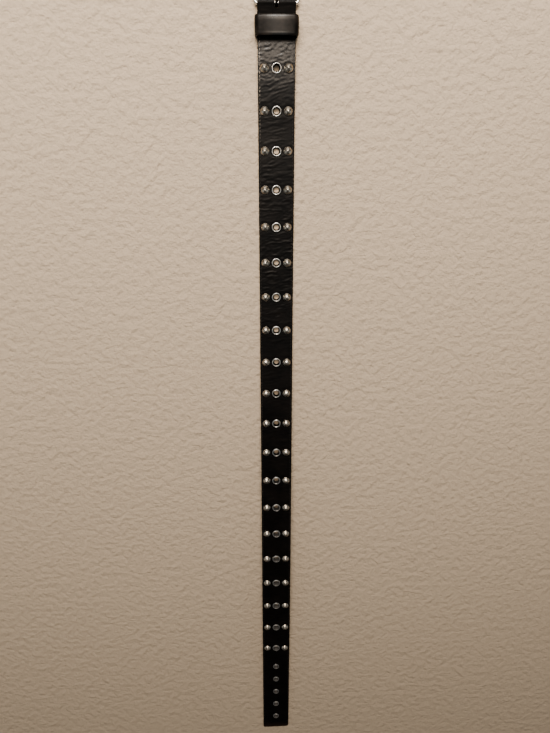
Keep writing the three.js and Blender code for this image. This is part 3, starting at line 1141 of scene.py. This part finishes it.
def prongStations():
    # from the point, along the shank, over the heel bar and round it; (y, z) from the heel axis
    loopRadius = strap["eyeRadius"] + prong["loopHalf"]
    stations = []
    right = Vector((1, 0, 0))

    def add(y, z, dy, dz, width, thick):
        forward = Vector((0, dy, dz)).normalized()
        upward = right.cross(forward)
        stations.append((heel + Vector((0, y, z)), forward, upward, width, thick))

    for share, size in prong["point"] + [(share, 1.0) for share in prong["shank"]]:
        add(prong["reach"] * share, prong["lift"], -1, 0, prong["radius"] * size, prong["radius"] * size)
    start = Vector((prong["bendStart"], prong["lift"]))
    meetAngle = prong["meetAngle"]
    meet = loopRadius * Vector((math.cos(meetAngle), math.sin(meetAngle)))
    control = meet + Vector((math.sin(meetAngle), -math.cos(meetAngle))) * prong["bendReach"]
    for i in range(prong["bendSteps"] + 1):
        t = i / prong["bendSteps"]
        point = bezier(start, control, meet, t)
        ahead = bezier(start, control, meet, min(t + 0.02, 1.0)) - bezier(start, control, meet, t - 0.02)
        thick = prong["radius"] + (prong["loopHalf"] - prong["radius"]) * smoothStep(t)
        add(point.x, point.y, ahead.x, ahead.y, prong["radius"], thick)
    for i in range(1, prong["loopSteps"] + 1):
        angle = meetAngle + (prong["loopEnd"] - meetAngle) * i / prong["loopSteps"]
        way = Vector((math.cos(angle), math.sin(angle)))
        add(way.x * loopRadius, way.y * loopRadius, -way.y, way.x, prong["radius"], prong["loopHalf"])
    return stations


prongWire = sweptWire(bmesh.new(), prongStations(), buckle["sides"])
# the prong's loop round the bar carries painted shade
prongMesh = finishMesh("wire_prong", prongWire, [nickel("nickel_with_painted_loop_shade", shadedLoop=True)], sharp=60)
addPiece("wire_prong", prongMesh, prongBody, ["prong"])

print("belt: floor and light")
studio = {
    "floorSize": 3.0,
    "floorColour": colour(0.63, 0.495, 0.355),
    "world": 0.06,
    "worldColour": colour(1.0, 0.97, 0.93),
    "panelHeight": 2.2,
    "amber": (1.0, 0.84, 0.68),
    "warm": (1.0, 0.92, 0.83),
    "soft": (1.0, 0.96, 0.91),
    "cool": (0.82, 0.93, 1.0),
}


def floorFinish():
    f = Finish("pale_floor")
    place = f.objectPlace()
    lumps = f.noise(place, 120.0, 3.0, 0.55)
    fine = f.noise(place, 420.0, 2.0, 0.5)
    base = studio["floorColour"]
    darker = colour(*(0.92 * part for part in base[:3]))
    f.surface(
        Base_Color=f.mix(lumps, base, darker),
        Roughness=0.9,
        Specular_IOR_Level=0.2,
        Normal=f.bump(lumps + fine * 0.15, 5 * mm, 0.9),
    )
    return f


def addFloor():
    bm = bmesh.new()
    bmesh.ops.create_grid(bm, x_segments=2, y_segments=2, size=studio["floorSize"] / 2)
    mesh = bpy.data.meshes.new("floor")
    bm.to_mesh(mesh)
    bm.free()
    mesh.materials.append(floorFinish().material)
    floor = bpy.data.objects.new("floor", mesh)
    bpy.context.scene.collection.objects.link(floor)


overhead = [
    {"name": "sheen_panel", "y": 1.06, "size": (1.2, 0.67), "bright": 9.0, "tint": "amber"},
    {"name": "middle_panel", "y": 0.5, "size": (1.2, 0.4), "bright": 2.0, "tint": "warm"},
    {"name": "ceiling_panel", "y": -0.3, "size": (1.2, 1.2), "bright": 0.5, "tint": "cool"},
]
lamps = [
    {**lamp, "place": (0, lamp["y"], studio["panelHeight"]), "aim": (0, lamp["y"], 0)} for lamp in overhead
]
lamps += [
    {
        "name": "key_softbox",
        "place": (-0.1, 1.55, 1.6),
        "aim": (0, 1.05, 0),
        "size": (1.9, 0.5),
        "bright": 8.5,
        "spread": 76,  # degrees
        "tint": "warm",
    },
    {
        "name": "low_panel",
        "place": (0, 2.6, 0.7),
        "aim": (0, 0, 0),
        "size": (2.4, 0.9),
        "bright": 1.0,
        "tint": "soft",
    },
]
for name, across in (("left_panel", -1.8), ("right_panel", 1.8)):
    side = {"name": name, "place": (across, -0.5, 0.9), "aim": (0, -0.3, 0)}
    lamps.append({**side, "size": (2.0, 0.9), "bright": 0.5, "tint": "cool"})


def addLamp(lamp):
    data = bpy.data.lights.new(lamp["name"], "AREA")
    data.shape = "RECTANGLE"
    data.size, data.size_y = lamp["size"]
    data.energy = lamp["bright"] * math.pi * lamp["size"][0] * lamp["size"][1]
    data.color = studio[lamp["tint"]]
    data.spread = math.radians(lamp.get("spread", 180))
    light = bpy.data.objects.new(lamp["name"], data)
    place = Vector(lamp["place"])
    facing = (Vector(lamp["aim"]) - place).to_track_quat("-Z", "Y")
    light.matrix_world = Matrix.LocRotScale(place, facing, None)
    bpy.context.scene.collection.objects.link(light)


def setWorld():
    world = bpy.data.worlds.new("studio")
    world.use_nodes = True
    background = world.node_tree.nodes["Background"]
    background.inputs["Color"].default_value = studio["worldColour"]
    background.inputs["Strength"].default_value = studio["world"]
    bpy.context.scene.world = world


addFloor()
for lamp in lamps:
    addLamp(lamp)
setWorld()

print("belt: finished")
